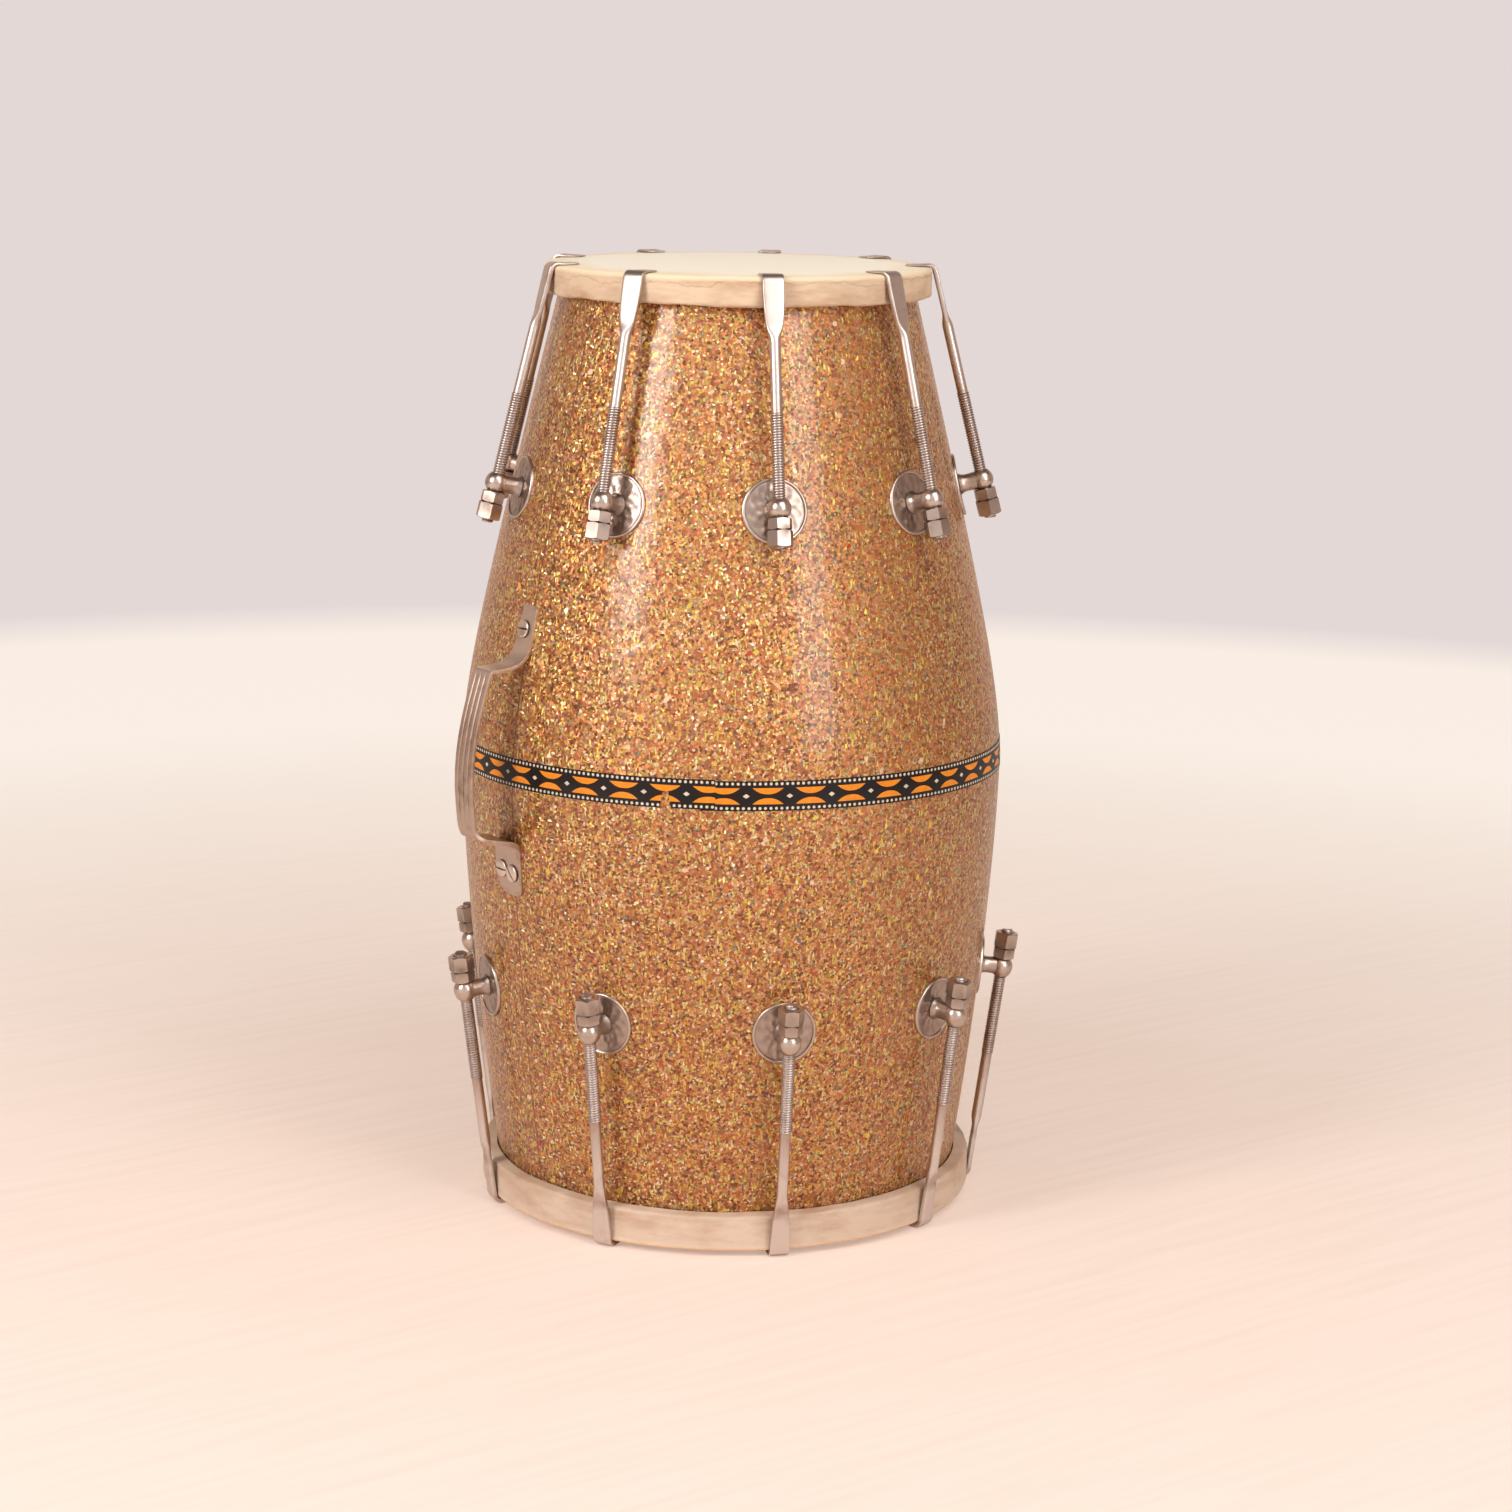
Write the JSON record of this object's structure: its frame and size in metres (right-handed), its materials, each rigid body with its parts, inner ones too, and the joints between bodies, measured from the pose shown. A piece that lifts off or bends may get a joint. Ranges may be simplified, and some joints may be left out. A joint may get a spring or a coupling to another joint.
{
  "type": "dholak",
  "caption": "Barrel hand drum with a glitter laminate shell, a hide head lapped on a hoop at each end, hook bolts that nuts draw against ball posts, and a ribbed strap handle on one side.",
  "frame": {"origin": "middle of the bass head's flat playing face", "axes": "+Z along the drum's axis from the bass head to the treble head, the handle near -X, +Y completing a right-handed frame"},
  "size_m": [0.3135, 0.2942, 0.4746],
  "materials": {
    "glitter_wood": "copper and gold glitter laminate under clear gloss lacquer, dull wood inside",
    "hide": "matt cream hide",
    "hoop_iron": "dull flat iron",
    "nickel": "bright nickel plate"
  },
  "bodies": {
    "drum": {"shell": "glitter_wood", "handle": "nickel", "treble_skin": "hide", "bass_skin": "hide", "treble_hoop": "hoop_iron", "bass_hoop": "hoop_iron", "treble_post_1": "nickel", "treble_post_2": "nickel", "treble_post_3": "nickel", "treble_post_4": "nickel", "treble_post_5": "nickel", "treble_post_6": "nickel", "treble_post_7": "nickel", "treble_post_8": "nickel", "treble_post_9": "nickel", "bass_post_1": "nickel", "bass_post_2": "nickel", "bass_post_3": "nickel", "bass_post_4": "nickel", "bass_post_5": "nickel", "bass_post_6": "nickel", "bass_post_7": "nickel", "bass_post_8": "nickel", "bass_post_9": "nickel"},
    "treble_nut_1": {"treble_nut_1": "nickel"},
    "treble_hook_1": {"treble_hook_1": "nickel"},
    "treble_nut_2": {"treble_nut_2": "nickel"},
    "treble_hook_2": {"treble_hook_2": "nickel"},
    "treble_nut_3": {"treble_nut_3": "nickel"},
    "treble_hook_3": {"treble_hook_3": "nickel"},
    "treble_nut_4": {"treble_nut_4": "nickel"},
    "treble_hook_4": {"treble_hook_4": "nickel"},
    "treble_nut_5": {"treble_nut_5": "nickel"},
    "treble_hook_5": {"treble_hook_5": "nickel"},
    "treble_nut_6": {"treble_nut_6": "nickel"},
    "treble_hook_6": {"treble_hook_6": "nickel"},
    "treble_nut_7": {"treble_nut_7": "nickel"},
    "treble_hook_7": {"treble_hook_7": "nickel"},
    "treble_nut_8": {"treble_nut_8": "nickel"},
    "treble_hook_8": {"treble_hook_8": "nickel"},
    "treble_nut_9": {"treble_nut_9": "nickel"},
    "treble_hook_9": {"treble_hook_9": "nickel"},
    "bass_nut_1": {"bass_nut_1": "nickel"},
    "bass_hook_1": {"bass_hook_1": "nickel"},
    "bass_nut_2": {"bass_nut_2": "nickel"},
    "bass_hook_2": {"bass_hook_2": "nickel"},
    "bass_nut_3": {"bass_nut_3": "nickel"},
    "bass_hook_3": {"bass_hook_3": "nickel"},
    "bass_nut_4": {"bass_nut_4": "nickel"},
    "bass_hook_4": {"bass_hook_4": "nickel"},
    "bass_nut_5": {"bass_nut_5": "nickel"},
    "bass_hook_5": {"bass_hook_5": "nickel"},
    "bass_nut_6": {"bass_nut_6": "nickel"},
    "bass_hook_6": {"bass_hook_6": "nickel"},
    "bass_nut_7": {"bass_nut_7": "nickel"},
    "bass_hook_7": {"bass_hook_7": "nickel"},
    "bass_nut_8": {"bass_nut_8": "nickel"},
    "bass_hook_8": {"bass_hook_8": "nickel"},
    "bass_nut_9": {"bass_nut_9": "nickel"},
    "bass_hook_9": {"bass_hook_9": "nickel"}
  },
  "joints": [
    {"name": "treble_nut_1_turn", "type": "hinge", "parent": "drum", "child": "treble_nut_1", "pos_m": [0.12354, 0.00864, 0.36451], "axis": [0.2465, 0.0172, -0.969], "range_deg": [0, 1440]},
    {"name": "treble_hook_1_slide", "type": "slide", "parent": "drum", "child": "treble_hook_1", "axis": [-0.2465, -0.0172, 0.969], "range_m": [0, 0.00508]},
    {"name": "treble_nut_2_turn", "type": "hinge", "parent": "drum", "child": "treble_nut_2", "pos_m": [0.08908, 0.08603, 0.36451], "axis": [0.1778, 0.1717, -0.969], "range_deg": [0, 1440]},
    {"name": "treble_hook_2_slide", "type": "slide", "parent": "drum", "child": "treble_hook_2", "axis": [-0.1778, -0.1717, 0.969], "range_m": [0, 0.00508]},
    {"name": "treble_nut_3_turn", "type": "hinge", "parent": "drum", "child": "treble_nut_3", "pos_m": [0.01294, 0.12316, 0.36451], "axis": [0.0258, 0.2458, -0.969], "range_deg": [0, 1440]},
    {"name": "treble_hook_3_slide", "type": "slide", "parent": "drum", "child": "treble_hook_3", "axis": [-0.0258, -0.2458, 0.969], "range_m": [0, 0.00508]},
    {"name": "treble_nut_4_turn", "type": "hinge", "parent": "drum", "child": "treble_nut_4", "pos_m": [-0.06925, 0.10267, 0.36451], "axis": [-0.1382, 0.2049, -0.969], "range_deg": [0, 1440]},
    {"name": "treble_hook_4_slide", "type": "slide", "parent": "drum", "child": "treble_hook_4", "axis": [0.1382, -0.2049, 0.969], "range_m": [0, 0.00508]},
    {"name": "treble_nut_5_turn", "type": "hinge", "parent": "drum", "child": "treble_nut_5", "pos_m": [-0.11904, 0.03413, 0.36451], "axis": [-0.2376, 0.0681, -0.969], "range_deg": [0, 1440]},
    {"name": "treble_hook_5_slide", "type": "slide", "parent": "drum", "child": "treble_hook_5", "axis": [0.2376, -0.0681, 0.969], "range_m": [0, 0.00508]},
    {"name": "treble_nut_6_turn", "type": "hinge", "parent": "drum", "child": "treble_nut_6", "pos_m": [-0.11313, -0.05037, 0.36451], "axis": [-0.2258, -0.1005, -0.969], "range_deg": [0, 1440]},
    {"name": "treble_hook_6_slide", "type": "slide", "parent": "drum", "child": "treble_hook_6", "axis": [0.2258, 0.1005, 0.969], "range_m": [0, 0.00508]},
    {"name": "treble_nut_7_turn", "type": "hinge", "parent": "drum", "child": "treble_nut_7", "pos_m": [-0.05429, -0.11131, 0.36451], "axis": [-0.1083, -0.2221, -0.969], "range_deg": [0, 1440]},
    {"name": "treble_hook_7_slide", "type": "slide", "parent": "drum", "child": "treble_hook_7", "axis": [0.1083, 0.2221, 0.969], "range_m": [0, 0.00508]},
    {"name": "treble_nut_8_turn", "type": "hinge", "parent": "drum", "child": "treble_nut_8", "pos_m": [0.02996, -0.12016, 0.36451], "axis": [0.0598, -0.2398, -0.969], "range_deg": [0, 1440]},
    {"name": "treble_hook_8_slide", "type": "slide", "parent": "drum", "child": "treble_hook_8", "axis": [-0.0598, 0.2398, 0.969], "range_m": [0, 0.00508]},
    {"name": "treble_nut_9_turn", "type": "hinge", "parent": "drum", "child": "treble_nut_9", "pos_m": [0.10019, -0.07279, 0.36451], "axis": [0.1999, -0.1453, -0.969], "range_deg": [0, 1440]},
    {"name": "treble_hook_9_slide", "type": "slide", "parent": "drum", "child": "treble_hook_9", "axis": [-0.1999, 0.1453, 0.969], "range_m": [0, 0.00508]},
    {"name": "bass_nut_1_turn", "type": "hinge", "parent": "drum", "child": "bass_nut_1", "pos_m": [0.141, 0.01606, 0.11075], "axis": [0.1308, 0.0149, 0.9913], "range_deg": [0, 1440]},
    {"name": "bass_hook_1_slide", "type": "slide", "parent": "drum", "child": "bass_hook_1", "axis": [-0.1308, -0.0149, -0.9913], "range_m": [0, 0.00508]},
    {"name": "bass_nut_2_turn", "type": "hinge", "parent": "drum", "child": "bass_nut_2", "pos_m": [0.09768, 0.10294, 0.11075], "axis": [0.0906, 0.0955, 0.9913], "range_deg": [0, 1440]},
    {"name": "bass_hook_2_slide", "type": "slide", "parent": "drum", "child": "bass_hook_2", "axis": [-0.0906, -0.0955, -0.9913], "range_m": [0, 0.00508]},
    {"name": "bass_nut_3_turn", "type": "hinge", "parent": "drum", "child": "bass_nut_3", "pos_m": [0.00866, 0.14165, 0.11075], "axis": [0.008, 0.1314, 0.9913], "range_deg": [0, 1440]},
    {"name": "bass_hook_3_slide", "type": "slide", "parent": "drum", "child": "bass_hook_3", "axis": [-0.008, -0.1314, -0.9913], "range_m": [0, 0.00508]},
    {"name": "bass_nut_4_turn", "type": "hinge", "parent": "drum", "child": "bass_nut_4", "pos_m": [-0.08441, 0.11408, 0.11075], "axis": [-0.0783, 0.1059, 0.9913], "range_deg": [0, 1440]},
    {"name": "bass_hook_4_slide", "type": "slide", "parent": "drum", "child": "bass_hook_4", "axis": [0.0783, -0.1059, -0.9913], "range_m": [0, 0.00508]},
    {"name": "bass_nut_5_turn", "type": "hinge", "parent": "drum", "child": "bass_nut_5", "pos_m": [-0.13799, 0.03313, 0.11075], "axis": [-0.1281, 0.0307, 0.9913], "range_deg": [0, 1440]},
    {"name": "bass_hook_5_slide", "type": "slide", "parent": "drum", "child": "bass_hook_5", "axis": [0.1281, -0.0307, -0.9913], "range_m": [0, 0.00508]},
    {"name": "bass_nut_6_turn", "type": "hinge", "parent": "drum", "child": "bass_nut_6", "pos_m": [-0.127, -0.06332, 0.11075], "axis": [-0.1179, -0.0588, 0.9913], "range_deg": [0, 1440]},
    {"name": "bass_hook_6_slide", "type": "slide", "parent": "drum", "child": "bass_hook_6", "axis": [0.1179, 0.0588, -0.9913], "range_m": [0, 0.00508]},
    {"name": "bass_nut_7_turn", "type": "hinge", "parent": "drum", "child": "bass_nut_7", "pos_m": [-0.05659, -0.13014, 0.11075], "axis": [-0.0525, -0.1208, 0.9913], "range_deg": [0, 1440]},
    {"name": "bass_hook_7_slide", "type": "slide", "parent": "drum", "child": "bass_hook_7", "axis": [0.0525, 0.1208, -0.9913], "range_m": [0, 0.00508]},
    {"name": "bass_nut_8_turn", "type": "hinge", "parent": "drum", "child": "bass_nut_8", "pos_m": [0.04031, -0.13607, 0.11075], "axis": [0.0374, -0.1263, 0.9913], "range_deg": [0, 1440]},
    {"name": "bass_hook_8_slide", "type": "slide", "parent": "drum", "child": "bass_hook_8", "axis": [-0.0374, 0.1263, -0.9913], "range_m": [0, 0.00508]},
    {"name": "bass_nut_9_turn", "type": "hinge", "parent": "drum", "child": "bass_nut_9", "pos_m": [0.11834, -0.07833, 0.11075], "axis": [0.1098, -0.0727, 0.9913], "range_deg": [0, 1440]},
    {"name": "bass_hook_9_slide", "type": "slide", "parent": "drum", "child": "bass_hook_9", "axis": [-0.1098, 0.0727, -0.9913], "range_m": [0, 0.00508]}
  ],
  "couplings": [
    {"joint": "treble_nut_1_turn", "follows": "treble_hook_1_slide", "rad_per_m": 4947.4},
    {"joint": "treble_nut_2_turn", "follows": "treble_hook_2_slide", "rad_per_m": 4947.4},
    {"joint": "treble_nut_3_turn", "follows": "treble_hook_3_slide", "rad_per_m": 4947.4},
    {"joint": "treble_nut_4_turn", "follows": "treble_hook_4_slide", "rad_per_m": 4947.4},
    {"joint": "treble_nut_5_turn", "follows": "treble_hook_5_slide", "rad_per_m": 4947.4},
    {"joint": "treble_nut_6_turn", "follows": "treble_hook_6_slide", "rad_per_m": 4947.4},
    {"joint": "treble_nut_7_turn", "follows": "treble_hook_7_slide", "rad_per_m": 4947.4},
    {"joint": "treble_nut_8_turn", "follows": "treble_hook_8_slide", "rad_per_m": 4947.4},
    {"joint": "treble_nut_9_turn", "follows": "treble_hook_9_slide", "rad_per_m": 4947.4},
    {"joint": "bass_nut_1_turn", "follows": "bass_hook_1_slide", "rad_per_m": 4947.4},
    {"joint": "bass_nut_2_turn", "follows": "bass_hook_2_slide", "rad_per_m": 4947.4},
    {"joint": "bass_nut_3_turn", "follows": "bass_hook_3_slide", "rad_per_m": 4947.4},
    {"joint": "bass_nut_4_turn", "follows": "bass_hook_4_slide", "rad_per_m": 4947.4},
    {"joint": "bass_nut_5_turn", "follows": "bass_hook_5_slide", "rad_per_m": 4947.4},
    {"joint": "bass_nut_6_turn", "follows": "bass_hook_6_slide", "rad_per_m": 4947.4},
    {"joint": "bass_nut_7_turn", "follows": "bass_hook_7_slide", "rad_per_m": 4947.4},
    {"joint": "bass_nut_8_turn", "follows": "bass_hook_8_slide", "rad_per_m": 4947.4},
    {"joint": "bass_nut_9_turn", "follows": "bass_hook_9_slide", "rad_per_m": 4947.4}
  ]
}
